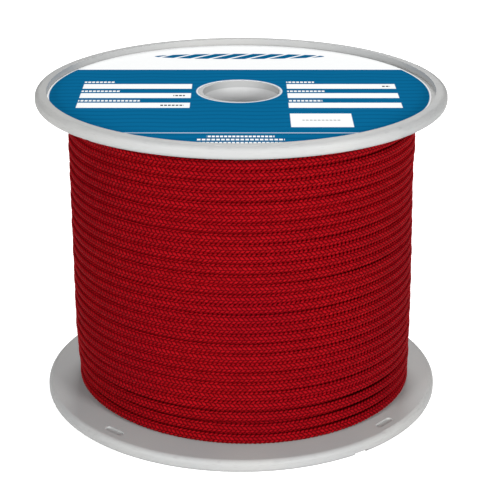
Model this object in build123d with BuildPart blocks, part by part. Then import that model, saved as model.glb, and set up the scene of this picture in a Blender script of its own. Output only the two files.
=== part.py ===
from build123d import *

import os
from math import cos, degrees, pi, radians, sin, tan

# A plastic reel wound with 8 mm braided rope.
#
# Two identical dished flanges are drawn together by four tie bolts. Between them a barrel tube carries
# the rope, and an arbor tube lines the bore that the reel turns on. The rope lies in eleven layers, and
# its outer end is laid over the back of the winding, whipped and taped down.
#
# The origin is the centre of the lower rim's resting face, and +Z runs up the reel's axis.

# Reel, in millimetres
flange_diameter = 320.0
reel_height = 254.0
rim_height = 10.0
rim_width = 9.0
rim_edge_radius = 4.0
rim_inner_edge_radius = 1.5
web_thickness = 5.0
recess_corner_radius = 1.0
bore_diameter = 60.0
bore_lip_radius = 0.8

# Barrel and arbor tubes, with the room between them that the tie bolts stand in
arbor_wall = 3.0
barrel_wall = 3.0
bolt_room = 19.0
tube_clearance = 0.15
tube_chamfer = 0.5

# Hub moulded on each flange's inner face
hub_height = 12.0
hub_ring_wall = 3.0
gusset_thickness = 2.5
gusset_count = 8

# Tie-off knock-outs in each flange, and the tie notch under the lower rim
knockout_count = 4
knockout_angle = -41.2
knockout_length = 18.7
knockout_width = 6.0
knockout_depth = 1.5
knockout_rim_gap = 3.0
notch_angle = -55.0
notch_width = 12.6
notch_depth = 3.0

# M6 tie bolts, their washers and nylon-insert nuts
bolt_count = 4
bolt_start_angle = 45.0
bolt_diameter = 6.0
bolt_hole_clearance = 0.3
thread_clearance = 0.05
hex_across_flats = 10.0
bolt_head_height = 4.0
nut_height = 4.6
nut_collar_height = 1.2
nut_collar_diameter = 8.6
washer_diameter = 12.0
washer_thickness = 1.6
pocket_clearance = 0.75
pocket_depth = 8.0
boss_wall = 1.2
bolt_end_gap = 0.4
bolt_end_chamfer = 0.6

# Paper label, stuck a little off centre in the upper flange's recess
label_thickness = 0.2
label_edge_gap = 2.0
label_bore_gap = 2.4
label_offset = -1.5

# Rope
rope_diameter = 8.0
rope_freeboard = 24.0
layer_spacing = 0.9 * rope_diameter
groove_depth = 0.35 * rope_diameter

# The rope's outer end climbs out of the top turn and slants down over the back of the winding.
# Each point of its route: angle, drop below the top turn, and depth under the line it ends on
tail_route = [
    (50, 0.0, 9.8),
    (57, 0.1, 8.9),
    (67, 0.9, 6.2),
    (78, 3.6, 2.4),
    (90, 9.0, 0.3),
    (103, 16.5, 0.0),
    (116, 23.5, 0.0),
    (129, 28.0, 0.0),
    (142, 30.0, 0.0),
]
tail_chord_lift = 1.1
tail_clearance = 0.2
whipping_length = 14.0
whipping_thickness = 0.5
end_chamfer = 1.0

# Adhesive tape over the rope's end
tape_angle = 126.0
tape_width = 26.0
tape_reach = 28.0
tape_crown = 6.5
tape_thickness = 0.25
tape_gap = 0.15
tape_foot = 5.0

# Places that follow from the sizes above
flange_radius = flange_diameter / 2
rim_inner_radius = flange_radius - rim_width
recess_depth = rim_height - web_thickness
bore_radius = bore_diameter / 2
arbor_radius = bore_radius + arbor_wall
barrel_inner_radius = arbor_radius + bolt_room
barrel_radius = barrel_inner_radius + barrel_wall
tube_length = reel_height - 2 * rim_height
socket_inner_radius = arbor_radius + tube_clearance
socket_outer_radius = socket_inner_radius + hub_ring_wall
spigot_outer_radius = barrel_inner_radius - tube_clearance
spigot_inner_radius = spigot_outer_radius - hub_ring_wall
bolt_circle_radius = (arbor_radius + barrel_inner_radius) / 2
pocket_radius = washer_diameter / 2 + pocket_clearance
pocket_floor = recess_depth + pocket_depth
knockout_radius = rim_inner_radius - knockout_rim_gap
winding_radius = flange_radius - rope_freeboard
rope_radius = rope_diameter / 2
turns = int(tube_length // rope_diameter)
turn_pitch = tube_length / turns
layers = int((winding_radius - barrel_radius - rope_diameter) // layer_spacing) + 1
layer_pitch = (winding_radius - barrel_radius - rope_diameter) / (layers - 1)
tail_radius = winding_radius + rope_radius + whipping_thickness + tail_clearance

os.makedirs("parts", exist_ok=True)


def write(piece, name):
    """Labels a finished piece and writes its STEP file."""
    piece.part.label = name
    export_step(piece.part, f"parts/{name}.step")


def moulded_flange():
    """One flange as it leaves the mould, resting on its rim with its hub upwards."""
    with BuildPart() as moulding:
        # The dished plate: a web flush with the inner face, and a deeper rim around it
        with BuildSketch(Plane.XZ) as section:
            with BuildLine():
                Polyline(
                    (bore_radius, recess_depth),
                    (rim_inner_radius, recess_depth),
                    (rim_inner_radius, 0),
                    (flange_radius, 0),
                    (flange_radius, rim_height),
                    (bore_radius, rim_height),
                    close=True,
                )
            make_face()
            columns = section.vertices().group_by(Axis.X)
            bore_corners, rim_corners, outer_corners = columns[0], columns[1], columns[2]
            fillet(outer_corners, rim_edge_radius)
            fillet(rim_corners.sort_by(Axis.Y)[0], rim_inner_edge_radius)
            fillet(rim_corners.sort_by(Axis.Y)[-1], recess_corner_radius)
            fillet(bore_corners.sort_by(Axis.Y)[0], bore_lip_radius)
        revolve(axis=Axis.Z)

        # The arbor tube's socket and the barrel tube's spigot
        with BuildSketch(Plane.XY.offset(rim_height)):
            Circle(socket_outer_radius)
            Circle(socket_inner_radius, mode=Mode.SUBTRACT)
        extrude(amount=hub_height)
        with BuildSketch(Plane.XY.offset(rim_height)):
            Circle(spigot_outer_radius)
            Circle(spigot_inner_radius, mode=Mode.SUBTRACT)
        extrude(amount=hub_height)

        # Gussets tie the two rings together between the bolt bosses
        with BuildSketch(Plane.XY.offset(rim_height)):
            gusset_length = spigot_inner_radius - socket_outer_radius + hub_ring_wall
            gusset_middle = (spigot_inner_radius + socket_outer_radius) / 2
            with PolarLocations(gusset_middle, gusset_count, start_angle=180 / gusset_count):
                Rectangle(gusset_length, gusset_thickness)
        extrude(amount=hub_height)

        # Bolt bosses, kept clear of both tubes by trimming them to the rings
        with BuildSketch(Plane.XY.offset(rim_height)) as bosses:
            with PolarLocations(bolt_circle_radius, bolt_count, start_angle=bolt_start_angle):
                Circle(pocket_radius + boss_wall)
            Circle(spigot_outer_radius, mode=Mode.INTERSECT)
            Circle(socket_inner_radius, mode=Mode.SUBTRACT)
        extrude(amount=hub_height)

        # Bolt holes with pockets that sink the heads and nuts below the outer face
        with Locations(Plane(origin=(0, 0, recess_depth), z_dir=(0, 0, -1))):
            with PolarLocations(bolt_circle_radius, bolt_count, start_angle=bolt_start_angle):
                CounterBoreHole(
                    radius=bolt_diameter / 2 + bolt_hole_clearance,
                    counter_bore_radius=pocket_radius,
                    counter_bore_depth=pocket_depth,
                    depth=web_thickness + hub_height,
                )

        # Oval knock-outs near the rim, where a tie can be passed once they are punched through
        with BuildSketch(Plane.XY.offset(rim_height)):
            with PolarLocations(knockout_radius, knockout_count, start_angle=knockout_angle):
                SlotOverall(knockout_length, knockout_width, rotation=90)
        extrude(amount=-knockout_depth, mode=Mode.SUBTRACT)
    return moulding.part


# Flanges: one moulding, used right way up below and turned over above
with BuildPart() as lower_flange:
    add(moulded_flange())
    with PolarLocations(flange_radius - rim_width / 2, 1, start_angle=notch_angle):
        Box(2 * rim_width, notch_width, 2 * notch_depth, mode=Mode.SUBTRACT)
write(lower_flange, "lower_flange")

with BuildPart() as upper_flange:
    add(moulded_flange().moved(Location((0, 0, reel_height), (180, 0, 0))))
write(upper_flange, "upper_flange")


# Tubes, each standing between the two webs
def tube(outer_radius, wall):
    """A tube from web to web with its outer ends chamfered."""
    with BuildPart() as piece:
        with BuildSketch(Plane.XY.offset(rim_height)):
            Circle(outer_radius)
            Circle(outer_radius - wall, mode=Mode.SUBTRACT)
        extrude(amount=tube_length)
        rims = piece.edges().filter_by(GeomType.CIRCLE)
        chamfer(rims.filter_by(lambda rim: rim.radius > outer_radius - wall / 2), tube_chamfer)
    return piece


arbor_tube = tube(arbor_radius, arbor_wall)
write(arbor_tube, "arbor_tube")

barrel_tube = tube(barrel_radius, barrel_wall)
write(barrel_tube, "barrel_tube")

# Tie bolts: hexagon heads in the lower pockets, shanks up to the nuts in the upper ones
bolt_places = PolarLocations(bolt_circle_radius, bolt_count, start_angle=bolt_start_angle)
lower_seat = pocket_floor
upper_seat = reel_height - pocket_floor
head_top = lower_seat - washer_thickness
nut_bottom = upper_seat + washer_thickness
bolt_end = nut_bottom + nut_height + nut_collar_height + bolt_end_gap

with BuildPart() as tie_bolts:
    with BuildSketch(Plane.XY.offset(head_top)):
        with bolt_places:
            RegularPolygon(hex_across_flats / 2, 6, major_radius=False)
    extrude(amount=-bolt_head_height)
    with BuildSketch(Plane.XY.offset(head_top)):
        with bolt_places:
            Circle(bolt_diameter / 2)
    extrude(amount=bolt_end - head_top)
    chamfer(tie_bolts.faces().group_by(Axis.Z)[-1].edges(), bolt_end_chamfer)
write(tie_bolts, "tie_bolts")


def washers(bottom):
    """One washer on each bolt, standing on the plane at height bottom."""
    with BuildPart() as piece:
        with BuildSketch(Plane.XY.offset(bottom)):
            with bolt_places:
                Circle(washer_diameter / 2)
                Circle(bolt_diameter / 2 + bolt_hole_clearance, mode=Mode.SUBTRACT)
        extrude(amount=washer_thickness)
    return piece


head_washers = washers(head_top)
write(head_washers, "head_washers")

nut_washers = washers(upper_seat)
write(nut_washers, "nut_washers")

with BuildPart() as lock_nuts:
    with BuildSketch(Plane.XY.offset(nut_bottom)):
        with bolt_places:
            RegularPolygon(hex_across_flats / 2, 6, major_radius=False)
    extrude(amount=nut_height)
    with BuildSketch(Plane.XY.offset(nut_bottom + nut_height)):
        with bolt_places:
            Circle(nut_collar_diameter / 2)
    extrude(amount=nut_collar_height)
    with BuildSketch(Plane.XY.offset(nut_bottom)):
        with bolt_places:
            Circle(bolt_diameter / 2 + thread_clearance)
    extrude(amount=nut_height + nut_collar_height, mode=Mode.SUBTRACT)
write(lock_nuts, "lock_nuts")

# Label, on the upper flange's web
with BuildPart() as flange_label:
    with BuildSketch(Plane.XY.offset(reel_height - recess_depth)):
        with Locations((label_offset, 0)):
            Circle(rim_inner_radius - label_edge_gap)
            Circle(bore_radius + label_bore_gap, mode=Mode.SUBTRACT)
    extrude(amount=label_thickness)
write(flange_label, "flange_label")

# The winding: one ring from the barrel out to the last layer, whose turns show as rounds
with BuildPart() as rope_winding:
    with BuildSketch(Plane.XZ) as section:
        groove_radius = winding_radius - groove_depth
        bottom, top = rim_height, reel_height - rim_height
        with BuildLine():
            for turn in range(turns):
                low = bottom + turn * turn_pitch
                high = low + turn_pitch
                middle = (low + high) / 2
                ThreePointArc((groove_radius, low), (winding_radius, middle), (groove_radius, high))
            Polyline(
                (groove_radius, top),
                (barrel_radius, top),
                (barrel_radius, bottom),
                (groove_radius, bottom),
            )
        make_face()
    revolve(axis=Axis.Z)
write(rope_winding, "rope_winding")


# The rope's outer end, lying on the outside of the winding
def tail_point(angle, drop, depth):
    """A point of the tail's route: drop below the middle of the top turn, depth in from its outer line."""
    height = reel_height - rim_height - turn_pitch / 2 - drop
    radius = tail_radius + tail_chord_lift - depth
    return Vector(radius * cos(radians(angle)), radius * sin(radians(angle)), height)


def bend_radii(points):
    """The largest arc at each inner point: 0.45 of the shorter run over the tangent of half the turn."""
    radii = []
    for before, here, after in zip(points, points[1:], points[2:]):
        turn_angle = (here - before).get_angle(after - here)
        shorter_run = min((here - before).length, (after - here).length)
        radii.append(0.45 * shorter_run / tan(radians(turn_angle / 2)))
    return radii


tail_points = [tail_point(*place) for place in tail_route]
tail_radii = bend_radii(tail_points)
with BuildPart() as rope_tail:
    with BuildLine() as tail_line:
        FilletPolyline(*tail_points, radius=tail_radii)
    tail_path = tail_line.wires()[0]
    with BuildSketch(Plane(origin=tail_path @ 0, z_dir=tail_path % 0)):
        Circle(rope_radius)
    sweep(path=tail_path)
    last_face = rope_tail.faces().filter_by(GeomType.PLANE).sort_by_distance(tail_points[-1])[0]
    chamfer(last_face.edges(), end_chamfer)
write(rope_tail, "rope_tail")
tail_fill = rope_tail.part.volume / (pi * rope_radius**2 * tail_path.length)
print("tail bend radii", [round(r, 1) for r in tail_radii], "length", round(tail_path.length, 1))
print("tail volume over section times length", round(tail_fill, 4))

# Whipping: a band of tape wound round the rope's end
whipping_axis = (tail_points[-1] - tail_points[-2]).normalized()
whipping_start = tail_points[-1] - whipping_axis * (whipping_length + end_chamfer)
with BuildPart() as tail_whipping:
    with BuildSketch(Plane(origin=whipping_start, z_dir=whipping_axis)):
        Circle(rope_radius + whipping_thickness)
        Circle(rope_radius, mode=Mode.SUBTRACT)
    extrude(amount=whipping_length)
write(tail_whipping, "tail_whipping")

# Tape: a strip up the winding that climbs over the rope's end and holds it down
tape_span = degrees(tape_width / winding_radius)
tape_start = radians(tape_angle - tape_span / 2)
tape_middle = (tail_points[-3].Z + 2 * tail_points[-2].Z) / 3
tape_low_radius = winding_radius + tape_gap
tape_high_radius = tail_radius + rope_radius + tail_chord_lift + tape_gap
with BuildPart() as end_tape:
    tape_plane = Plane(
        origin=(0, 0, 0),
        x_dir=(cos(tape_start), sin(tape_start), 0),
        z_dir=(sin(tape_start), -cos(tape_start), 0),
    )
    with BuildSketch(tape_plane):
        with BuildLine():
            profile = [
                (tape_low_radius, tape_middle - tape_reach),
                (tape_low_radius, tape_middle - rope_diameter - tape_foot),
                (tape_high_radius, tape_middle - tape_crown),
                (tape_high_radius, tape_middle + tape_crown),
                (tape_low_radius, tape_middle + rope_diameter + tape_foot),
                (tape_low_radius, tape_middle + tape_reach),
            ]
            Polyline(*profile)
            Polyline(*[(r + tape_thickness, z) for r, z in profile])
            Line(profile[0], (profile[0][0] + tape_thickness, profile[0][1]))
            Line(profile[-1], (profile[-1][0] + tape_thickness, profile[-1][1]))
        make_face()
    revolve(axis=Axis.Z, revolution_arc=tape_span)
write(end_tape, "end_tape")

print("turns", turns, "turn pitch", round(turn_pitch, 3))
print("layers", layers, "layer pitch", round(layer_pitch, 3))
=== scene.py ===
import math

import bpy
import numpy as np
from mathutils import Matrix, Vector


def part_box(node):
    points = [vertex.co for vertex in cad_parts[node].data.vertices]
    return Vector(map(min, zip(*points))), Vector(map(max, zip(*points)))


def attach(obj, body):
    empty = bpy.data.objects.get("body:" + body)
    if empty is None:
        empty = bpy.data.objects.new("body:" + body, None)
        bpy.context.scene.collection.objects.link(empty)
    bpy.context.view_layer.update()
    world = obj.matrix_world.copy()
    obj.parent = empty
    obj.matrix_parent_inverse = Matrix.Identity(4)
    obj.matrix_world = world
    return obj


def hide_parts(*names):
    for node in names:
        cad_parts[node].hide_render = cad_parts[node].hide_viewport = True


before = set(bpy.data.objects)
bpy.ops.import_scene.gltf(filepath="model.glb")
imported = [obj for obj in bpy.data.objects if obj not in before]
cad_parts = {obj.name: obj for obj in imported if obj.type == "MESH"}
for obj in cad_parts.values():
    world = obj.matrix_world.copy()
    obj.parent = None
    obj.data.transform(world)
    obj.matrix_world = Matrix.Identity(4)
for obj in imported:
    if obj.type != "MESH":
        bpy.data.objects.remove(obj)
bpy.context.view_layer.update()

# ---------------------------------------------------------------------------------------------
# Studio. The reel stands on a plain white floor, between two softboxes in front of it and a weaker
# one behind, with a wide one overhead. The camera looks slightly down at the front of the reel.
# ---------------------------------------------------------------------------------------------
reel_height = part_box("upper_flange")[1].z
camera_distance = 1.224
camera_rise = math.radians(21.03)
camera_tilt = math.radians(21.52)
camera_height = reel_height / 2 + camera_distance * math.sin(camera_rise)

camera = bpy.data.objects.new("camera", bpy.data.cameras.new("camera"))
camera.location = (0.0, -camera_distance * math.cos(camera_rise), camera_height)
camera.rotation_euler = (math.pi / 2 - camera_tilt, 0.0, 0.0)
camera.data.lens = 108.75
camera.data.sensor_width = 36.0
camera.data.shift_x = 0.0176
camera.data.clip_start = 0.01
bpy.context.scene.collection.objects.link(camera)
bpy.context.scene.camera = camera
bpy.context.scene.view_settings.view_transform = "Standard"


def softbox(name, place, aim_height, size, power):
    """A square area light at place that faces a point of the reel's axis."""
    light = bpy.data.objects.new(name, bpy.data.lights.new(name, "AREA"))
    light.data.size = size
    light.data.energy = power
    light.location = place
    away = Vector(place) - Vector((0.0, 0.0, aim_height))
    light.rotation_euler = away.to_track_quat("Z", "Y").to_euler()
    bpy.context.scene.collection.objects.link(light)


softbox("left softbox", (-1.0, -1.5, 0.7), 0.12, 0.5, 31.0)
softbox("right softbox", (1.1, -1.45, 0.7), 0.12, 0.5, 36.0)
softbox("top softbox", (0.0, 0.0, 1.9), 0.25, 1.2, 7.0)
softbox("back softbox", (0.1, 1.6, 1.4), 0.12, 0.8, 24.0)


def blend_colours(tree, share, low, high):
    """The colour between low and high at a share, each a socket or a colour, as a socket."""
    mix = tree.nodes.new("ShaderNodeMix")
    mix.data_type = "RGBA"
    for socket, value in ((mix.inputs[0], share), (mix.inputs[6], low), (mix.inputs[7], high)):
        if isinstance(value, bpy.types.NodeSocket):
            tree.links.new(value, socket)
        else:
            socket.default_value = value
    return mix.outputs[2]


def backdrop_glow(tree, socket, lit, seen):
    """Wires a colour that is lit where it falls on the reel, and seen where the camera meets it."""
    rays = tree.nodes.new("ShaderNodeLightPath")
    tree.links.new(blend_colours(tree, rays.outputs["Is Camera Ray"], lit, seen), socket)


def finish_of(name, **sockets):
    """A material with one Principled shader whose named sockets are set, as (material, tree, shader)."""
    made = bpy.data.materials.new(name)
    made.use_nodes = True
    shader = made.node_tree.nodes["Principled BSDF"]
    for socket, value in sockets.items():
        shader.inputs[socket.replace("_", " ")].default_value = value
    return made, made.node_tree, shader


world = bpy.data.worlds.new("studio")
world.use_nodes = True
world_colour = world.node_tree.nodes["Background"].inputs["Color"]
backdrop_glow(world.node_tree, world_colour, (0.12, 0.12, 0.12, 1.0), (1.0, 1.0, 1.0, 1.0))
bpy.context.scene.world = world

floor_half = 4.0
floor_corners = [(x * floor_half, y * floor_half, 0.0) for x, y in ((-1, -1), (1, -1), (1, 1), (-1, 1))]
floor_mesh = bpy.data.meshes.new("floor")
floor_mesh.from_pydata(floor_corners, [], [(0, 1, 2, 3)])
floor = bpy.data.objects.new("floor", floor_mesh)
floor_finish, floor_tree, floor_shader = finish_of(
    "floor white", Base_Color=(0.8, 0.8, 0.8, 1.0), Roughness=0.9, Specular_IOR_Level=0.1,
    Emission_Strength=1.0,
)
backdrop_glow(floor_tree, floor_shader.inputs["Emission Color"], (0.0, 0.0, 0.0, 1.0), (0.7, 0.7, 0.7, 1.0))
floor_mesh.materials.append(floor_finish)
bpy.context.scene.collection.objects.link(floor)


# ---------------------------------------------------------------------------------------------
# Flanges. Two like mouldings in pale grey plastic, the upper one turned over. Each is a thin web
# with a deeper rim and a hub inside. The mould left a fine even texture, and handling has rubbed
# faint marks round the rims.
# ---------------------------------------------------------------------------------------------
flange_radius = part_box("upper_flange")[1].x


def chain(tree, operation, *values):
    """A Math node in a tree, with each input set or wired, and its output socket returned."""
    made = tree.nodes.new("ShaderNodeMath")
    made.operation = operation
    for socket, value in zip(made.inputs, values):
        if isinstance(value, bpy.types.NodeSocket):
            tree.links.new(value, socket)
        else:
            socket.default_value = value
    return made.outputs[0]


def group_of(name, inputs, outputs):
    """An empty node group with named sockets, as (tree, its input sockets, its output node)."""
    tree = bpy.data.node_groups.new(name, "ShaderNodeTree")
    for label, kind in inputs:
        tree.interface.new_socket(name=label, in_out="INPUT", socket_type=kind)
    for label, kind in outputs:
        tree.interface.new_socket(name=label, in_out="OUTPUT", socket_type=kind)
    return tree, tree.nodes.new("NodeGroupInput").outputs, tree.nodes.new("NodeGroupOutput")


def ranged(tree, value, low, high, from_low=0.0, from_high=1.0):
    """A value stretched from one range to another and held inside it, as a socket."""
    made = tree.nodes.new("ShaderNodeMapRange")
    tree.links.new(value, made.inputs["Value"])
    made.inputs["From Min"].default_value = from_low
    made.inputs["From Max"].default_value = from_high
    made.inputs["To Min"].default_value = low
    made.inputs["To Max"].default_value = high
    return made.outputs[0]


def raised(tree, shader, height, distance, strength=1.0):
    """Wires a height through a Bump node of the given distance into the shader's normal."""
    bump = tree.nodes.new("ShaderNodeBump")
    bump.inputs["Strength"].default_value = strength
    bump.inputs["Distance"].default_value = distance
    tree.links.new(height, bump.inputs["Height"])
    tree.links.new(bump.outputs[0], shader.inputs["Normal"])


def use_group(tree, group, **values):
    """One use of a node group in a tree, with its own values, and its output sockets returned."""
    made = tree.nodes.new("ShaderNodeGroup")
    made.node_tree = group
    for socket, value in values.items():
        if isinstance(value, bpy.types.NodeSocket):
            tree.links.new(value, made.inputs[socket.replace("_", " ")])
        else:
            made.inputs[socket.replace("_", " ")].default_value = value
    return made.outputs


def grain_group():
    """Even fine grain and slow drift in Object coordinates. Fine and Broad are noises of the given sizes."""
    tree, given, out = group_of(
        "grain", [("Fine Scale", "NodeSocketFloat"), ("Broad Scale", "NodeSocketFloat")],
        [("Fine", "NodeSocketFloat"), ("Broad", "NodeSocketFloat")],
    )
    place = tree.nodes.new("ShaderNodeTexCoord")
    for label, detail in (("Fine", 3.0), ("Broad", 2.0)):
        noise = tree.nodes.new("ShaderNodeTexNoise")
        noise.inputs["Detail"].default_value = detail
        tree.links.new(place.outputs["Object"], noise.inputs["Vector"])
        tree.links.new(given[label + " Scale"], noise.inputs["Scale"])
        tree.links.new(noise.outputs["Fac"], out.inputs[label])
    return tree


def marks_group():
    """Rubbed marks that run round the reel's axis: a noise that varies slowly over X and Y, and fast over the
    radius and the height. Around is its slow scale and Across its fast one, and Marks is 0 to 1."""
    tree, given, out = group_of(
        "rubbed marks", [("Around", "NodeSocketFloat"), ("Across", "NodeSocketFloat")],
        [("Marks", "NodeSocketFloat"), ("Radius", "NodeSocketFloat")],
    )
    place = tree.nodes.new("ShaderNodeSeparateXYZ")
    tree.links.new(tree.nodes.new("ShaderNodeTexCoord").outputs["Object"], place.inputs[0])
    squares = [chain(tree, "MULTIPLY", place.outputs[k], place.outputs[k]) for k in (0, 1)]
    radius = chain(tree, "SQRT", chain(tree, "ADD", *squares))
    stretched = tree.nodes.new("ShaderNodeCombineXYZ")
    tree.links.new(chain(tree, "MULTIPLY", place.outputs[0], given["Around"]), stretched.inputs[0])
    tree.links.new(chain(tree, "MULTIPLY", place.outputs[1], given["Around"]), stretched.inputs[1])
    depth = chain(tree, "ADD", radius, place.outputs[2])
    tree.links.new(chain(tree, "MULTIPLY", depth, given["Across"]), stretched.inputs[2])
    noise = tree.nodes.new("ShaderNodeTexNoise")
    noise.inputs["Detail"].default_value = 2.0
    tree.links.new(stretched.outputs[0], noise.inputs["Vector"])
    tree.links.new(ranged(tree, noise.outputs["Fac"], 0.0, 1.0, 0.56, 0.72), out.inputs["Marks"])
    tree.links.new(radius, out.inputs["Radius"])
    return tree


grain = grain_group()
rubbed = marks_group()


def flange_finish():
    """Satin pale grey plastic. Its tone drifts slowly, and the rim is duller and greyer where rubbed."""
    made, tree, shader = finish_of("pale grey flange plastic", Specular_IOR_Level=0.12)
    texture = use_group(tree, grain, Fine_Scale=1500.0, Broad_Scale=11.0)
    marks = use_group(tree, rubbed, Around=26.0, Across=900.0)
    drift = ranged(tree, texture["Broad"], 0.0, 1.0, 0.35, 0.65)
    tone = blend_colours(tree, drift, (0.335, 0.34, 0.34, 1.0), (0.37, 0.37, 0.362, 1.0))
    rub_start = flange_radius - 0.010
    rub_full = flange_radius - 0.003
    on_rim = ranged(tree, marks["Radius"], 0.0, 1.0, rub_start, rub_full)
    worn = chain(tree, "MULTIPLY", chain(tree, "MULTIPLY", marks["Marks"], on_rim), 0.45)
    tree.links.new(blend_colours(tree, worn, tone, (0.27, 0.27, 0.265, 1.0)), shader.inputs["Base Color"])
    dull = chain(tree, "MULTIPLY_ADD", texture["Fine"], 0.16, 0.36)
    tree.links.new(chain(tree, "MULTIPLY_ADD", worn, 0.4, dull), shader.inputs["Roughness"])
    height = chain(tree, "MULTIPLY_ADD", worn, -0.8, texture["Fine"])
    raised(tree, shader, height, 0.00012, 0.6)
    return made


def refinish(nodes, made):
    """Gives CAD nodes a material in every one of their slots."""
    for node in nodes:
        for material_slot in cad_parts[node].material_slots:
            material_slot.material = made


refinish(["lower_flange", "upper_flange"], flange_finish())


# ---------------------------------------------------------------------------------------------
# Tubes. The arbor tube lines the bore, and the barrel tube carries the rope. Both are sawn from
# extruded grey pipe, which has faint lines along it, and stand in the hubs.
# ---------------------------------------------------------------------------------------------
def tube_finish():
    """Extruded grey plastic: a noise drawn out along the tube gives it faint lines from end to end."""
    made, tree, shader = finish_of("extruded grey plastic", Specular_IOR_Level=0.4)
    place = tree.nodes.new("ShaderNodeTexCoord")
    drawn_out = tree.nodes.new("ShaderNodeMapping")
    drawn_out.inputs["Scale"].default_value = (700.0, 700.0, 6.0)
    tree.links.new(place.outputs["Object"], drawn_out.inputs["Vector"])
    lines = tree.nodes.new("ShaderNodeTexNoise")
    lines.inputs["Detail"].default_value = 2.0
    tree.links.new(drawn_out.outputs[0], lines.inputs["Vector"])
    drift = use_group(tree, grain, Fine_Scale=1800.0, Broad_Scale=16.0)
    line_share = chain(tree, "MULTIPLY", lines.outputs["Fac"], 0.3)
    share = chain(tree, "MULTIPLY_ADD", drift["Broad"], 0.7, line_share)
    grey = blend_colours(tree, share, (0.40, 0.405, 0.41, 1.0), (0.50, 0.50, 0.50, 1.0))
    tree.links.new(grey, shader.inputs["Base Color"])
    tree.links.new(ranged(tree, lines.outputs["Fac"], 0.34, 0.56), shader.inputs["Roughness"])
    raised(tree, shader, lines.outputs["Fac"], 0.0001, 0.5)
    return made


refinish(["arbor_tube", "barrel_tube"], tube_finish())


# ---------------------------------------------------------------------------------------------
# Fasteners. Four M6 bolts with plain washers and nylon-insert nuts draw the flanges together. They
# are steel with a thin zinc plating, which is cloudy and a little yellow and blue in places.
# ---------------------------------------------------------------------------------------------
def zinc_finish():
    """Zinc plating: a metal whose tint and polish both drift over a few millimetres, with a fine frost."""
    made, tree, shader = finish_of("zinc plating", Metallic=1.0)
    cloud = use_group(tree, grain, Fine_Scale=2600.0, Broad_Scale=240.0)
    share = ranged(tree, cloud["Broad"], 0.0, 1.0, 0.3, 0.7)
    tint = blend_colours(tree, share, (0.60, 0.61, 0.64, 1.0), (0.66, 0.63, 0.54, 1.0))
    frost = ranged(tree, cloud["Fine"], 0.0, 0.35, 0.5, 0.75)
    tree.links.new(blend_colours(tree, frost, tint, (0.47, 0.47, 0.47, 1.0)), shader.inputs["Base Color"])
    tree.links.new(chain(tree, "MULTIPLY_ADD", cloud["Fine"], 0.22, 0.22), shader.inputs["Roughness"])
    raised(tree, shader, cloud["Fine"], 0.00005, 0.5)
    return made


refinish(["tie_bolts", "head_washers", "nut_washers", "lock_nuts"], zinc_finish())


# ---------------------------------------------------------------------------------------------
# Label. A round sheet of coated paper, stuck inside the upper rim. It is printed blue, with a white
# head, a white edge, boxes to write in with short captions, and a strip of twisted strands.
# ---------------------------------------------------------------------------------------------
label_low, label_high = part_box("flange_label")
label_radius = (label_high.x - label_low.x) / 2
label_centre = (label_low.x + label_high.x) / 2
millimetre = 0.001
head_line = 65.0
foot_line = -111.0
box_rows = (13.5, -13.2, -40.2)
box_sides = (-80.2, 80.2)
box_half = (42.8, 6.9)
caption_rise = 12.4
caption_half = 2.0
caption_pitch = 3.1
left_captions = (24.0, 30.0, 47.0)
right_captions = (22.0, 29.0, 26.0)


def print_group():
    """A printed rectangle: 1 inside and 0 outside, from the larger of the two distances past its half sizes.
    Where Pitch isn't 0 it is broken into strokes that far apart, and a quarter of each pitch is a gap."""
    tree, given, out = group_of(
        "printed block",
        [("Place", "NodeSocketVector"), ("Centre", "NodeSocketVector"), ("Half", "NodeSocketVector"),
         ("Pitch", "NodeSocketFloat")],
        [("Ink", "NodeSocketFloat")],
    )
    from_centre = tree.nodes.new("ShaderNodeVectorMath")
    from_centre.operation = "SUBTRACT"
    tree.links.new(given["Place"], from_centre.inputs[0])
    tree.links.new(given["Centre"], from_centre.inputs[1])
    offset = tree.nodes.new("ShaderNodeSeparateXYZ")
    tree.links.new(from_centre.outputs[0], offset.inputs[0])
    half = tree.nodes.new("ShaderNodeSeparateXYZ")
    tree.links.new(given["Half"], half.inputs[0])
    past = [
        chain(tree, "SUBTRACT", chain(tree, "ABSOLUTE", offset.outputs[k]), half.outputs[k]) for k in (0, 1)
    ]
    edge_blur = 0.25
    inside = ranged(tree, chain(tree, "MAXIMUM", *past), 1.0, 0.0, -edge_blur, edge_blur)
    stroke = chain(tree, "FRACT", chain(tree, "DIVIDE", offset.outputs[0], given["Pitch"]))
    stroke_share = 0.74
    past_stroke = chain(tree, "GREATER_THAN", stroke, stroke_share)
    gap = chain(tree, "MULTIPLY", past_stroke, chain(tree, "GREATER_THAN", given["Pitch"], 0.0))
    tree.links.new(chain(tree, "MULTIPLY", inside, chain(tree, "SUBTRACT", 1.0, gap)), out.inputs["Ink"])
    return tree


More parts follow.
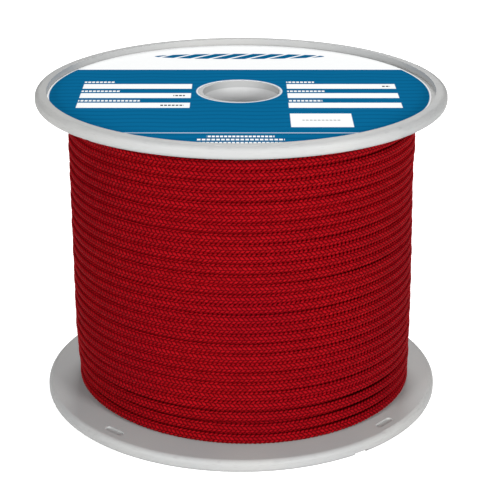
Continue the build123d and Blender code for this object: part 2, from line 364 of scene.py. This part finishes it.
def label_finish():
    """The print, worked out in millimetres from the label's centre. White areas and dark ones are gathered as
    the largest of their shares, and laid over the blue."""
    made, tree, shader = finish_of("printed label paper", Specular_IOR_Level=0.0)
    block = print_group()
    place = tree.nodes.new("ShaderNodeTexCoord")
    millimetres = tree.nodes.new("ShaderNodeMapping")
    millimetres.inputs["Location"].default_value = (-label_centre / millimetre, 0.0, 0.0)
    millimetres.inputs["Scale"].default_value = (1.0 / millimetre,) * 3
    tree.links.new(place.outputs["Object"], millimetres.inputs["Vector"])
    split = tree.nodes.new("ShaderNodeSeparateXYZ")
    tree.links.new(millimetres.outputs[0], split.inputs[0])
    x, y = split.outputs["X"], split.outputs["Y"]
    squares = [chain(tree, "MULTIPLY", value, value) for value in (x, y)]
    radius = chain(tree, "SQRT", chain(tree, "ADD", *squares))

    def ink(centre_x, centre_y, half_x, half_y, pitch=0.0):
        """One printed block."""
        values = {"Centre": (centre_x, centre_y, 0.0), "Half": (half_x, half_y, 0.0), "Pitch": pitch}
        return use_group(tree, block, Place=millimetres.outputs[0], **values)["Ink"]

    def largest(shares):
        """The largest of several shares."""
        top = shares[0]
        for share in shares[1:]:
            top = chain(tree, "MAXIMUM", top, share)
        return top

    white = [ranged(tree, y, 0.0, 1.0, head_line - 0.4, head_line + 0.4)]
    for side, captions in zip(box_sides, (left_captions, right_captions)):
        for row, width in zip(box_rows, captions):
            white.append(ink(side, row, *box_half))
            middle = side - box_half[0] + width / 2
            white.append(ink(middle, row + caption_rise, width / 2, caption_half, caption_pitch))
    panel = (60.3, -79.6)
    white.append(ink(*panel, 22.7, 17.3))
    foot_middle = 1.0
    foot_half = 1.9
    foot_strokes = ((-119.5, 24.0, 2.9), (-127.0, 31.0, 3.4), (-134.5, 29.0, 3.0))
    white += [ink(foot_middle, row, half, foot_half, pitch) for row, half, pitch in foot_strokes]
    white.append(chain(tree, "MULTIPLY", ink(0.0, foot_line, label_radius / millimetre, 0.7), 0.7))
    edge = label_radius / millimetre
    white.append(ranged(tree, radius, 0.0, 1.0, edge - 1.6, edge - 1.0))
    hole_edge = 32.4
    by_hole = ranged(tree, radius, 1.0, 0.0, hole_edge + 0.9, hole_edge + 1.5)
    white.append(chain(tree, "MULTIPLY", by_hole, 0.75))

    # Faint darker bands across the blue, 9.8 mm apart, which rise and fall a little from side to side
    band_pitch = 9.8
    wave = chain(tree, "SINE", chain(tree, "MULTIPLY", x, 0.11))
    wavy = chain(tree, "MULTIPLY_ADD", wave, 0.9, y)
    bands = chain(tree, "SINE", chain(tree, "MULTIPLY", wavy, 2.0 * math.pi / band_pitch))
    crest = ranged(tree, bands, 0.0, 1.0, 0.2, 1.0)
    blue = blend_colours(tree, crest, (0.0030, 0.122, 0.272, 1.0), (0.0024, 0.098, 0.224, 1.0))
    paper = blend_colours(tree, largest(white), blue, (0.86, 0.87, 0.87, 1.0))

    # Dark strokes: a place, a row and half a width for each, and a paler line in the panel
    dark_pitch = 2.9
    dark_strokes = ((-46.5, box_rows[1], 4.5), (-51.0, box_rows[2], 9.0), (115.5, box_rows[0], 3.2))
    marks = [ink(place_x, row, half, 1.7, dark_pitch) for place_x, row, half in dark_strokes]
    marks.append(chain(tree, "MULTIPLY", ink(*panel, 14.0, 1.4, dark_pitch), 0.5))
    marked = blend_colours(tree, largest(marks), paper, (0.05, 0.055, 0.07, 1.0))

    # Twisted strands: slanted lozenges, in a strip that thins towards its two ends
    strand_half = 72.0
    strand_middle = 109.0
    strand_pitch = 16.0
    strip_half = 9.5
    from_middle = chain(tree, "SUBTRACT", y, strand_middle)
    along = chain(tree, "DIVIDE", x, strand_half)
    within = chain(tree, "SUBTRACT", 1.0, chain(tree, "MULTIPLY", along, along))
    taper = chain(tree, "SQRT", chain(tree, "MAXIMUM", within, 0.0))
    past_strip = chain(tree, "MULTIPLY_ADD", taper, -strip_half, chain(tree, "ABSOLUTE", from_middle))
    strip = ranged(tree, past_strip, 1.0, 0.0, -0.9, -0.1)
    sheared = chain(tree, "MULTIPLY_ADD", from_middle, -1.1, x)
    slanted = chain(tree, "FRACT", chain(tree, "DIVIDE", sheared, strand_pitch))
    off_middle = chain(tree, "ABSOLUTE", chain(tree, "SUBTRACT", slanted, 0.5))
    lozenge = ranged(tree, off_middle, 1.0, 0.0, 0.36, 0.42)
    strand_blue = (0.0026, 0.105, 0.240, 1.0)
    colour = blend_colours(tree, chain(tree, "MULTIPLY", strip, lozenge), marked, strand_blue)
    tree.links.new(colour, shader.inputs["Base Color"])

    fibres = use_group(tree, grain, Fine_Scale=900.0, Broad_Scale=20.0)
    tree.links.new(ranged(tree, fibres["Broad"], 0.5, 0.62), shader.inputs["Roughness"])
    raised(tree, shader, fibres["Fine"], 0.00008, 0.35)
    return made


refinish(["flange_label"], label_finish())


# ---------------------------------------------------------------------------------------------
# Rope. It is 8 mm polyester with a braided cover of eight strands, four each way, wound on the
# barrel in eleven layers of 29 turns. Each turn lies flat, and steps up to the next one in a short
# crossover at the back. The buried layers are plain; the outermost one has its braid in relief.
# ---------------------------------------------------------------------------------------------
rope_diameter = 0.008
turns = 29
layers = 11
crossover_angle = 50.0
crossover_share = 0.21
barrel_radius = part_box("barrel_tube")[1].x
winding_low, winding_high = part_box("rope_winding")
first_radius = barrel_radius + rope_diameter / 2
layer_pitch = (winding_high.x - rope_diameter / 2 - first_radius) / (layers - 1)
lowest_turn = winding_low.z + rope_diameter / 2
highest_turn = winding_high.z - rope_diameter / 2
loose_turns = 3
loose_gap = 0.0016
tight_pitch = (highest_turn - lowest_turn - loose_turns * loose_gap) / (turns - 1)
slots = np.arange(turns)
slot_heights = lowest_turn + tight_pitch * slots + loose_gap * np.minimum(slots, loose_turns)
points_per_turn = 24


def eased(share):
    """0 to 1 with level ends: three times the share squared less twice its cube."""
    share = np.clip(share, 0.0, 1.0)
    return share * share * (3.0 - 2.0 * share)


def wound_place(wound):
    """Centre of the rope after wound turns: a circle whose height steps by one slot, or whose radius steps by
    one layer, over the crossover. Small sines of the angle and the turn make the turns uneven. In the
    outermost layer, bell curves and a cosine of the angle and the turn swell it in two places and draw it
    in at the foot."""
    layer = np.minimum(wound // turns, layers - 1)
    turn = wound - layer * turns
    slot = np.minimum(turn // 1.0, turns)
    step = eased((turn - slot) / crossover_share)
    rank = np.where(slot > 0, slot - 1.0 + step, 0.0)
    rank = np.where(layer % 2 == 0, rank, turns - 1.0 - rank)
    height = np.interp(rank, np.arange(turns), slot_heights)
    climb = np.where((slot > 0) | (layer == 0), 1.0, step)
    radius = first_radius + layer_pitch * (layer - 1.0 + climb)
    angle = np.radians(crossover_angle) + 2.0 * np.pi * wound
    uneven = np.sin(2.0 * angle + 1.7 * rank) + 0.7 * np.sin(3.0 * angle - 2.9 * rank)
    height_play = 0.00016
    radius_play = 0.00022
    bulge_height = 0.0013
    fuller_by = 0.0026
    drawn_in_by = 0.0042
    height = np.clip(height + height_play * uneven, lowest_turn, highest_turn)
    bulge_side = np.exp(-(((np.degrees(angle) + 25.0 + 180.0) % 360.0 - 180.0) / 38.0) ** 2)
    bulge = bulge_height * bulge_side * np.exp(-((rank - 25.0) / 2.2) ** 2)
    fuller_side = fuller_by * (0.5 + 0.5 * np.cos(angle)) ** 2 * eased((26.0 - rank) / 20.0)
    around = (np.degrees(angle) - 222.0 + 180.0) % 360.0 - 180.0
    drawn_in = drawn_in_by * np.exp(-((around / 44.0) ** 2)) * np.exp(-((rank / 3.0) ** 2))
    outline = bulge + fuller_side - drawn_in + radius_play * np.sin(2.0 * angle - 2.3 * rank)
    radius = radius + np.where(layer == layers - 1, outline, 0.0)
    return angle, radius, height


def wound_route(start, stop):
    """Control points from start to stop turns: each end on the rope's line, and between them the corners of
    the polygon whose sides touch it, which lie outside it by one over the cosine of half a side's angle."""
    sides = int(round((stop - start) * points_per_turn))
    wound = start + (np.arange(sides) + 0.5) * (stop - start) / sides
    wound = np.concatenate([[start], wound, [stop - 1e-9]])
    angle, radius, height = wound_place(wound)
    radius[1:-1] /= np.cos(np.pi / points_per_turn)
    return np.stack([radius * np.cos(angle), radius * np.sin(angle), height], axis=1)


def smooth_line(name, route, steps):
    """Points read from the NURBS spline of order 3 that has the route as its control points."""
    curve = bpy.data.curves.new(name, "CURVE")
    curve.dimensions = "3D"
    spline = curve.splines.new("NURBS")
    spline.points.add(len(route) - 1)
    spline.points.foreach_set("co", np.column_stack([route, np.ones(len(route))]).ravel())
    spline.order_u = 3
    spline.use_endpoint_u = True
    spline.resolution_u = steps
    curve.resolution_u = steps
    holder = bpy.data.objects.new(name, curve)
    mesh = bpy.data.meshes.new_from_object(holder)
    line = np.empty(len(mesh.vertices) * 3)
    mesh.vertices.foreach_get("co", line)
    bpy.data.objects.remove(holder)
    bpy.data.curves.remove(curve)
    bpy.data.meshes.remove(mesh)
    return line.reshape(-1, 3)


def travelled(line):
    """Distance along a line of points, at each point."""
    return np.concatenate([[0.0], np.cumsum(np.linalg.norm(np.diff(line, axis=0), axis=1))])


def carried(line, distance):
    """Centre, and the outward and sideways directions square to the line, at each distance along it.
    Outward is away from the reel's axis."""
    along = travelled(line)
    tangents = np.gradient(line, along, axis=0)
    centre = np.stack([np.interp(distance, along, line[:, k]) for k in range(3)], axis=-1)
    tangent = np.stack([np.interp(distance, along, tangents[:, k]) for k in range(3)], axis=-1)
    tangent /= np.linalg.norm(tangent, axis=-1, keepdims=True)
    outward = centre * (1.0, 1.0, 0.0)
    outward -= tangent * np.sum(outward * tangent, axis=-1, keepdims=True)
    outward /= np.linalg.norm(outward, axis=-1, keepdims=True)
    return centre, outward, np.cross(tangent, outward)


def tube_mesh(name, rings, uv, caps):
    """A closed tube through a grid of rings. Each row of the grid is a ring, and caps are the two points that
    its ends fan in to. uv has one more column than rings, for the seam."""
    count, sides = rings.shape[:2]
    points = np.concatenate([rings.reshape(-1, 3), caps])
    row, column = np.meshgrid(np.arange(count - 1), np.arange(sides), indexing="ij")
    beside = (column + 1) % sides
    here = row * sides + column
    next_round = row * sides + beside
    quads = np.stack([here, next_round, next_round + sides, here + sides], -1)
    quad_uv = np.stack(
        [uv[row, column], uv[row, column + 1], uv[row + 1, column + 1], uv[row + 1, column]], 2
    )
    rim = np.arange(sides)
    last = (count - 1) * sides
    near = np.stack([np.full(sides, count * sides), (rim + 1) % sides, rim], -1)
    far = np.stack([np.full(sides, count * sides + 1), last + rim, last + (rim + 1) % sides], -1)
    cap_uv = np.zeros((2 * sides * 3, 2))
    loops = np.concatenate([quads.ravel(), near.ravel(), far.ravel()])
    starts = np.concatenate([np.arange(quads.size // 4) * 4, quads.size + np.arange(2 * sides) * 3])
    mesh = bpy.data.meshes.new(name)
    mesh.vertices.add(len(points))
    mesh.vertices.foreach_set("co", points.ravel())
    mesh.loops.add(len(loops))
    mesh.loops.foreach_set("vertex_index", loops.astype(np.int32))
    mesh.polygons.add(len(starts))
    mesh.polygons.foreach_set("loop_start", starts.astype(np.int32))
    mesh.polygons.foreach_set("use_smooth", np.ones(len(starts), bool))
    layer = mesh.uv_layers.new(name="along and round")
    mesh.update(calc_edges=True)
    layer.uv.foreach_set("vector", np.concatenate([quad_uv.reshape(-1, 2), cap_uv]).ravel())
    mesh.validate()
    piece = bpy.data.objects.new(name, mesh)
    bpy.context.scene.collection.objects.link(piece)
    return piece


strand_columns = 8
points_per_column = 4
pick = 0.434 * rope_diameter
rings_per_pick = 4
slant = 0.6
crown_radius = 0.515 * rope_diameter
crown_relief = 0.0008


def braided_rope(name, line, corners):
    """A tube in which the braid stands out. Round the rope lie eight columns of floats, which slant to and
    fro in turn. A ring follows that slant: each of its points is shifted along the rope by its distance from
    the middle of its column. The radius falls by a parabola across a float and along it, from its crown to
    the valleys round it, and the floats of neighbouring columns lie half a pick apart.
    corners are the ring's points, counted in quarters of a column from the outward direction."""
    length = travelled(line)[-1]
    picks = int(round(length / pick))
    phase = np.arange(picks * rings_per_pick + 1)[:, None] / rings_per_pick
    column = corners // points_per_column
    across = corners / points_per_column - column - 0.5
    side = np.where(column % 2 == 0, 1.0, -1.0)
    u = phase - side * slant * across
    centre, outward, sideways = carried(line, np.clip(u / picks, 0.0, 1.0) * length)
    float_phase = phase + 0.5 * (column % 2)
    along = 2.0 * (float_phase - np.round(float_phase))
    height = (1.0 - 0.8 * (2.0 * across) ** 2) * (1.0 - along**2)
    radius = (crown_radius - crown_relief * (1.0 - height))[..., None]
    turned = 2.0 * np.pi * corners / (strand_columns * points_per_column)
    rings = centre + radius * (np.cos(turned)[:, None] * outward + np.sin(turned)[:, None] * sideways)
    round_rope = np.append(corners, corners[0] + strand_columns * points_per_column) / points_per_column
    along_rope = np.concatenate([u, u[:, :1]], axis=1)
    uv = np.stack([along_rope, np.broadcast_to(round_rope, along_rope.shape)], axis=-1)
    return tube_mesh(name, rings, uv, line[[0, -1]])


def plain_rope(name, line, sides):
    """A plain round tube along a line, with the same coordinates as the braid."""
    centre, outward, sideways = carried(line, travelled(line))
    turned = 2.0 * np.pi * np.arange(sides) / sides
    spokes = np.cos(turned)[:, None] * outward[:, None] + np.sin(turned)[:, None] * sideways[:, None]
    rings = centre[:, None] + rope_diameter / 2 * spokes
    round_rope = strand_columns * np.arange(sides + 1) / sides
    along_rope = np.broadcast_to((travelled(line) / pick)[:, None], (len(line), sides + 1))
    uv = np.stack([along_rope, np.broadcast_to(round_rope, along_rope.shape)], axis=-1)
    return tube_mesh(name, rings, uv, line[[0, -1]])


def braid_group():
    """The floats of the braid on coordinates of picks along and columns round. A column's parity sets which
    way its floats slant. Yarn is 1 on a float and 0 in the lines between, where the rope paints shade, Tone
    is a level that each float keeps, and Relief is a float's rounding with the fine ridges of its yarns."""
    tree, given, out = group_of(
        "braid", [("Place", "NodeSocketVector")],
        [("Yarn", "NodeSocketFloat"), ("Tone", "NodeSocketFloat"), ("Relief", "NodeSocketFloat")],
    )
    split = tree.nodes.new("ShaderNodeSeparateXYZ")
    tree.links.new(given["Place"], split.inputs[0])
    column = chain(tree, "FLOOR", split.outputs["Y"])
    across = chain(tree, "SUBTRACT", chain(tree, "FRACT", split.outputs["Y"]), 0.5)
    odd = chain(tree, "FLOORED_MODULO", column, 2.0)
    side = chain(tree, "MULTIPLY_ADD", odd, -2.0 * slant, slant)
    shifted = chain(tree, "MULTIPLY_ADD", odd, 0.5, split.outputs["X"])
    phase = chain(tree, "MULTIPLY_ADD", side, across, shifted)
    rank = chain(tree, "ROUND", phase)
    along = chain(tree, "SUBTRACT", phase, rank)
    side_gap = chain(tree, "MULTIPLY_ADD", chain(tree, "ABSOLUTE", across), -1.7, 0.85)
    end_gap = chain(tree, "SUBTRACT", 0.5, chain(tree, "ABSOLUTE", along))
    nearest = chain(tree, "SMOOTH_MIN", side_gap, end_gap, 0.12)
    yarn = tree.nodes.new("ShaderNodeMapRange")
    yarn.interpolation_type = "SMOOTHSTEP"
    yarn.inputs["From Min"].default_value = 0.03
    yarn.inputs["From Max"].default_value = 0.3
    tree.links.new(nearest, yarn.inputs["Value"])
    cell = tree.nodes.new("ShaderNodeCombineXYZ")
    tree.links.new(rank, cell.inputs["X"])
    tree.links.new(column, cell.inputs["Y"])
    tone = tree.nodes.new("ShaderNodeTexWhiteNoise")
    tree.links.new(cell.outputs[0], tone.inputs["Vector"])
    yarns_per_strand = 5.0
    ridges = chain(tree, "COSINE", chain(tree, "MULTIPLY", along, 2.0 * math.pi * yarns_per_strand))
    relief = chain(tree, "MULTIPLY_ADD", ridges, 0.09, chain(tree, "SMOOTH_MIN", nearest, 0.3, 0.2))
    tree.links.new(yarn.outputs[0], out.inputs["Yarn"])
    tree.links.new(tone.outputs["Value"], out.inputs["Tone"])
    tree.links.new(relief, out.inputs["Relief"])
    return tree


braid = braid_group()


def rope_finish():
    """Deep red polyester yarn: bright floats that differ a little from one to the next, painted shade in the
    dark lines between them, and a faint sheen from the fibres."""
    made, tree, shader = finish_of(
        "red braided polyester", Roughness=0.55, Specular_IOR_Level=0.03, Specular_Tint=(1.0, 0.3, 0.3, 1.0),
    )
    own_uv = tree.nodes.new("ShaderNodeUVMap")
    own_uv.uv_map = "along and round"
    floats = use_group(tree, braid, Place=own_uv.outputs[0])
    drift = use_group(tree, grain, Fine_Scale=900.0, Broad_Scale=14.0)
    yarn = blend_colours(tree, floats["Tone"], (0.210, 0.0022, 0.0040, 1.0), (0.285, 0.0032, 0.0062, 1.0))
    wear = ranged(tree, drift["Broad"], 0.0, 0.35, 0.4, 0.7)
    worn = blend_colours(tree, wear, yarn, (0.19, 0.0012, 0.006, 1.0))
    # Painted shade: where Yarn is 0, the lines between floats get a dark red that stands for the shade in the
    # braid's valleys
    colour = blend_colours(tree, floats["Yarn"], (0.060, 0.0005, 0.0016, 1.0), worn)
    tree.links.new(colour, shader.inputs["Base Color"])
    tree.links.new(ranged(tree, drift["Fine"], 0.42, 0.68), shader.inputs["Roughness"])
    raised(tree, shader, floats["Relief"], 0.0009, 0.55)
    return made


rope_red = rope_finish()


def declare_rope(piece, node):
    """Finishes one length of the rope: its material, its body, and the node it stands for, which is hidden.
    """
    piece.data.materials.append(rope_red)
    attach(piece, "root")
    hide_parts(node)


# The buried layers, in lengths of under 60 m: first and last layer, sides of the tube, and its fineness
rope_at = wound_route(0, 1)[0]
for first_layer, last_layer, sides, steps in ((0, 3, 6, 1), (4, 6, 6, 1), (7, 8, 6, 1), (9, 9, 12, 3)):
    name = f"rope_layers_{first_layer + 1}_to_{last_layer + 1}"
    line = smooth_line(name, wound_route(first_layer * turns, (last_layer + 1) * turns), steps)
    declare_rope(plain_rope(name, line, sides), "rope_winding")
    rope_at = line[-1]

# The outermost layer, in lengths of a few turns each. Only the half of a turn that faces out is fine.
seen_half = np.arange(-8, 9)
buried_half = np.array([12, 16, 20])
turns_per_length = 5
for turn in range(0, turns, turns_per_length):
    name = f"rope_outer_turns_{turn + 1}_to_{min(turn + turns_per_length, turns)}"
    start = (layers - 1) * turns + turn
    stop = min(start + turns_per_length, layers * turns)
    line = smooth_line(name, wound_route(start, stop), 12)
    outer_rope = braided_rope(name, line, np.concatenate([seen_half, buried_half]))
    declare_rope(outer_rope, "rope_winding")
    rope_at = line[-1]

# The rope's end climbs out of the top turn and slants down over the back. Each point of its route is an
# angle in degrees, a drop below the top turn and a depth under the line it ends on, in millimetres.
tail_route = [
    (50, 0.0, 9.8),
    (57, 0.1, 8.9),
    (67, 0.9, 6.2),
    (78, 3.6, 2.4),
    (90, 9.0, 0.3),
    (103, 16.5, 0.0),
    (116, 23.5, 0.0),
    (129, 28.0, 0.0),
    (142, 30.0, 0.0),
]
tail_lift = 0.0018
tail_radius = winding_high.x + rope_diameter / 2 + tail_lift
tail_top = winding_high.z - (winding_high.z - winding_low.z) / turns / 2
tail_angle, tail_drop, tail_depth = np.array(tail_route, float).T * [[math.pi / 180], [0.001], [0.001]]
tail_out = tail_radius - tail_depth
tail_spokes = [tail_out * np.cos(tail_angle), tail_out * np.sin(tail_angle)]
tail_points = np.stack([*tail_spokes, tail_top - tail_drop], axis=1)
tail_points[0] = rope_at
tail_line = smooth_line("rope_tail_cover", tail_points, 24)
tail = braided_rope("rope_tail_cover", tail_line, np.arange(-16, 16))


# ---------------------------------------------------------------------------------------------
# Fused end and whipping. The rope was cut with a hot knife, which left a hard dark bead on its end.
# Behind the bead, black tape is wound tightly round and round to keep the braid from opening.
# ---------------------------------------------------------------------------------------------
whipping_radius = 0.0045
whipping_length = 0.014
whipping_gap = 0.001
tape_step = 0.0042
bead_depth = 0.0009
bead_overlap = 0.0007


def turned_form(name, line, distance, radius, across, caps, sides):
    """A closed form turned about a line. distance and radius are whole arrays over rings and the angle round
    them, and the point at each is the line's point at that distance, moved out by the radius."""
    centre, outward, sideways = carried(line, distance)
    turned = 2.0 * np.pi * np.arange(sides) / sides
    spokes = np.cos(turned)[:, None] * outward + np.sin(turned)[:, None] * sideways
    rings = centre + radius[..., None] * spokes
    uv = np.stack(np.meshgrid(across, np.arange(sides + 1) / sides, indexing="ij"), axis=-1)
    return tube_mesh(name, rings, uv, caps)


def wound_whipping():
    """Whipping: over its length the radius falls by a tape's thickness at every lap, and the lap's edge runs
    on round the rope, as the remainder of distance over step plus the share of the angle. Its two ends are
    rounded off."""
    sides, rings = 48, 70
    share = np.linspace(0.0, 1.0, rings)[:, None]
    angle_share = np.arange(sides)[None, :] / sides
    end = travelled(tail_line)[-1] - whipping_gap
    distance = end - whipping_length * (1.0 - share) + 0.0 * angle_share
    lap = (whipping_length * share / tape_step + angle_share) % 1.0
    rounded_length = 0.0004
    rounded_depth = 0.0002
    lap_thickness = 0.00034
    edge = np.minimum(np.minimum(share, 1.0 - share) * whipping_length / rounded_length, 1.0)
    radius = whipping_radius - lap_thickness * eased(lap) - rounded_depth * (1.0 - edge) ** 2
    centre = carried(tail_line, distance[[0, -1], 0])[0]
    return turned_form("wound_whipping", tail_line, distance, radius, share[:, 0], centre, sides)


def whipping_finish():
    """Black vinyl tape, a little dusty: smooth, with fine dust in its dull patches."""
    made, tree, shader = finish_of("black vinyl tape", Specular_IOR_Level=0.5)
    dust = use_group(tree, grain, Fine_Scale=2200.0, Broad_Scale=160.0)
    share = chain(tree, "MULTIPLY", ranged(tree, dust["Fine"], 0.0, 1.0, 0.5, 0.8), 0.25)
    dusty = blend_colours(tree, share, (0.012, 0.012, 0.014, 1.0), (0.09, 0.085, 0.08, 1.0))
    tree.links.new(dusty, shader.inputs["Base Color"])
    tree.links.new(ranged(tree, dust["Broad"], 0.28, 0.5), shader.inputs["Roughness"])
    raised(tree, shader, dust["Fine"], 0.00008, 0.5)
    return made


def fused_bead():
    """Bead: a dome over the rope's end. Its depth falls with the square of the radius, and a few sines round
    it make it lumpy, as melted yarn sets."""
    sides, rings = 32, 12
    share = np.linspace(0.0, 1.0, rings)[:, None]
    angle = 2.0 * np.pi * np.arange(sides)[None, :] / sides
    lumps = 0.06 * np.sin(3.0 * angle + 0.8) + 0.04 * np.sin(7.0 * angle)
    radius = crown_radius * (1.0 - 0.94 * share**2.2) * (1.0 + lumps * share)
    end = travelled(tail_line)[-1]
    tangent = (tail_line[-1] - tail_line[-2]) / np.linalg.norm(tail_line[-1] - tail_line[-2])
    _, outward, sideways = carried(tail_line, np.array([end]))
    spokes = np.cos(angle)[..., None] * outward[0] + np.sin(angle)[..., None] * sideways[0]
    rise = -bead_overlap + bead_depth * share * (2.0 - share) + 0.0 * angle
    rings_of_bead = tail_line[-1] + rise[..., None] * tangent + radius[..., None] * spokes
    caps = np.stack(
        [tail_line[-1] - bead_overlap * tangent, tail_line[-1] + (bead_depth - bead_overlap) * tangent]
    )
    uv = np.stack(np.meshgrid(share[:, 0], np.arange(sides + 1) / sides, indexing="ij"), axis=-1)
    return tube_mesh("fused_rope_end", rings_of_bead, uv, caps)


def bead_finish():
    """Melted polyester: dark red, glossy and lumpy."""
    made, tree, shader = finish_of("melted red polyester", Specular_IOR_Level=0.5)
    lumps = use_group(tree, grain, Fine_Scale=1200.0, Broad_Scale=500.0)
    melted = blend_colours(tree, lumps["Broad"], (0.10, 0.001, 0.002, 1.0), (0.24, 0.004, 0.008, 1.0))
    tree.links.new(melted, shader.inputs["Base Color"])
    tree.links.new(ranged(tree, lumps["Fine"], 0.16, 0.42), shader.inputs["Roughness"])
    raised(tree, shader, lumps["Broad"], 0.0004, 0.6)
    return made


whipping = wound_whipping()
whipping.data.materials.append(whipping_finish())
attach(whipping, "root")
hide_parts("tail_whipping")

bead = fused_bead()
bead.data.materials.append(bead_finish())
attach(bead, "root")

declare_rope(tail, "rope_tail")


# ---------------------------------------------------------------------------------------------
# Tape. One strip of cream crepe paper tape runs up the winding and over the rope's end. It was
# rubbed down by hand, so it dips between the turns, and bridges from them up to the rope's end.
# ---------------------------------------------------------------------------------------------
tape_low, tape_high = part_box("end_tape")
tape_angle = math.radians(126.0)
tape_width = 0.026
tape_thickness = 0.00016
tape_dip = 0.0006
tape_hump_half = 0.0075
tape_off_turns = 0.0004
tape_off_tail = 0.00045
crease_height = 0.00016
winding_radius = winding_high.x


def tape_radius(angle, height):
    """How far out the tape's sticky face lies: on the crowns of the turns, with a dip between one and the
    next as the square of a sine, and raised over the rope's end by a hump that dies away on both sides.
    Small creases stand where the hump is half its height."""
    rank = np.interp(height, slot_heights, np.arange(turns))
    dips = tape_dip * np.sin(np.pi * rank) ** 2
    route_angle = np.arctan2(tail_line[:, 1], tail_line[:, 0])
    across_tail = height - np.interp(angle, route_angle, tail_line[:, 2])
    hump = np.exp(-np.abs(across_tail / tape_hump_half) ** 2.5)
    tail_top_radius = tail_radius + tape_off_tail + crown_radius
    creases = crease_height * np.sin(angle * 240.0 + 9.0 * np.sin(height * 160.0)) * hump * (1.0 - hump) * 4.0
    ground = winding_radius + tape_off_turns - dips
    return ground + (tail_top_radius - ground) * hump + creases


def draped_tape():
    """The strip: a grid over its width and length, with its long edges a little wavy, closed by a second grid
    one thickness out. The two ends are torn, in a jagged line."""
    columns, rows = 52, 240
    across = np.linspace(-0.5, 0.5, columns)[:, None]
    up = np.linspace(0.0, 1.0, rows)[None, :]
    tear = 0.0009 * np.sin(across * 31.0) + 0.0006 * np.sin(across * 83.0 + 1.0)
    height = tape_low.z + 0.001 + (tape_high.z - tape_low.z - 0.002) * up + tear * (2.0 * up - 1.0)
    sway = 0.0004 * np.sin(up * 9.0)
    angle = tape_angle + (across * (tape_width - 0.001) + sway) / winding_radius
    faces = []
    for lift in (0.0, tape_thickness):
        radius = tape_radius(angle, height) + lift
        faces.append(np.stack([radius * np.cos(angle), radius * np.sin(angle), height], axis=-1))
    points = np.concatenate([face.reshape(-1, 3) for face in faces])
    column, row = np.meshgrid(np.arange(columns - 1), np.arange(rows - 1), indexing="ij")
    here = column * rows + row
    inner = np.stack([here, here + 1, here + rows + 1, here + rows], -1).reshape(-1, 4)
    outer = inner[:, ::-1] + columns * rows
    low_edge = np.arange(columns) * rows
    high_edge = low_edge + rows - 1
    first_edge = np.arange(rows)
    last_edge = (columns - 1) * rows + np.arange(rows)
    round_edge = np.concatenate([first_edge, high_edge[1:], last_edge[::-1][1:], low_edge[::-1][1:]])
    step = round_edge[:-1], round_edge[1:]
    rim = np.stack([step[1], step[0], step[0] + columns * rows, step[1] + columns * rows], -1)
    mesh = bpy.data.meshes.new("crepe_tape")
    mesh.from_pydata(points.tolist(), [], np.concatenate([inner, outer, rim]).tolist())
    mesh.polygons.foreach_set("use_smooth", np.ones(len(mesh.polygons), bool))
    piece = bpy.data.objects.new("crepe_tape", mesh)
    bpy.context.scene.collection.objects.link(piece)
    return piece


def tape_finish():
    """Crepe paper: fine wrinkles across the strip, from a noise drawn out round the reel, on a cream paper
    that is darker in its folds by painted shade, from the same noise that lowers the bump there."""
    made, tree, shader = finish_of("cream crepe paper", Specular_IOR_Level=0.3)
    place = tree.nodes.new("ShaderNodeTexCoord")
    drawn_out = tree.nodes.new("ShaderNodeMapping")
    drawn_out.inputs["Scale"].default_value = (260.0, 260.0, 1900.0)
    tree.links.new(place.outputs["Object"], drawn_out.inputs["Vector"])
    wrinkles = tree.nodes.new("ShaderNodeTexNoise")
    wrinkles.inputs["Detail"].default_value = 3.0
    tree.links.new(drawn_out.outputs[0], wrinkles.inputs["Vector"])
    drift = use_group(tree, grain, Fine_Scale=1500.0, Broad_Scale=60.0)
    # Painted shade: the wrinkle noise that raises the bump also lightens the cream, so the folds are shaded
    # in the colour; the broad drift is the paper's own tone
    broad_share = chain(tree, "MULTIPLY", drift["Broad"], 0.4)
    share = chain(tree, "MULTIPLY_ADD", wrinkles.outputs["Fac"], 0.6, broad_share)
    fold_shade_and_tone = ranged(tree, share, 0.0, 1.0, 0.35, 0.65)
    cream = blend_colours(tree, fold_shade_and_tone, (0.43, 0.34, 0.19, 1.0), (0.62, 0.52, 0.33, 1.0))
    tree.links.new(cream, shader.inputs["Base Color"])
    tree.links.new(ranged(tree, drift["Fine"], 0.55, 0.8), shader.inputs["Roughness"])
    raised(tree, shader, wrinkles.outputs["Fac"], 0.0003, 0.7)
    return made


tape = draped_tape()
tape.data.materials.append(tape_finish())
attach(tape, "root")
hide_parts("end_tape")
